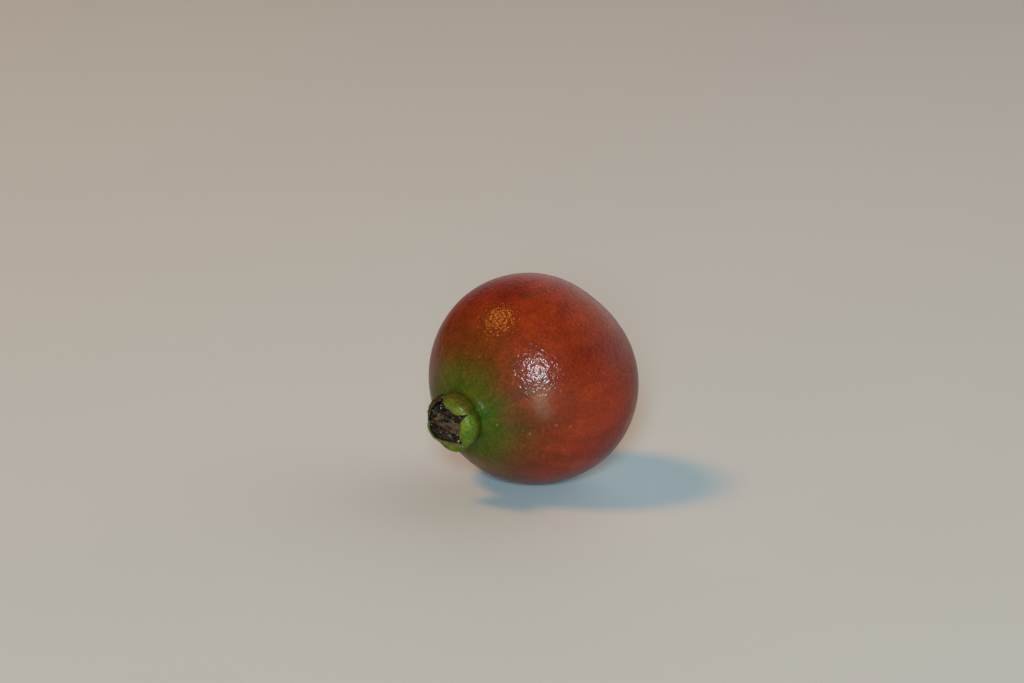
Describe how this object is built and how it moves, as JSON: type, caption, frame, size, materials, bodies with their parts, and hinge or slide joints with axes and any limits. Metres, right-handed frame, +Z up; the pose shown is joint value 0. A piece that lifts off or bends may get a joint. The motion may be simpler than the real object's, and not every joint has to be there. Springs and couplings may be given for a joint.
{
  "type": "strawberry guava",
  "caption": "Small round red guava with a thin pebbled skin, lying on its side on a small flat spot, with its short neck, leafy calyx crown and the dried flower in it.",
  "frame": {"origin": "middle of the small flat spot that the fruit lies on", "axes": "+Z up; the calyx crown looks along -Y and droops a little, so the fruit's long way runs along Y and the stem scar is at its +Y end; +X is to the right of someone who faces along +Y"},
  "size_m": [0.0312, 0.0327, 0.0305],
  "materials": {
    "skin": "thin waxy fruit skin, satin, finely pebbled; brick red, and green about the crown",
    "dried_flower": "dry, matt and papery, dark brown"
  },
  "bodies": {
    "root": {"fruit": "skin", "dried_flower": "dried_flower"}
  },
  "joints": []
}
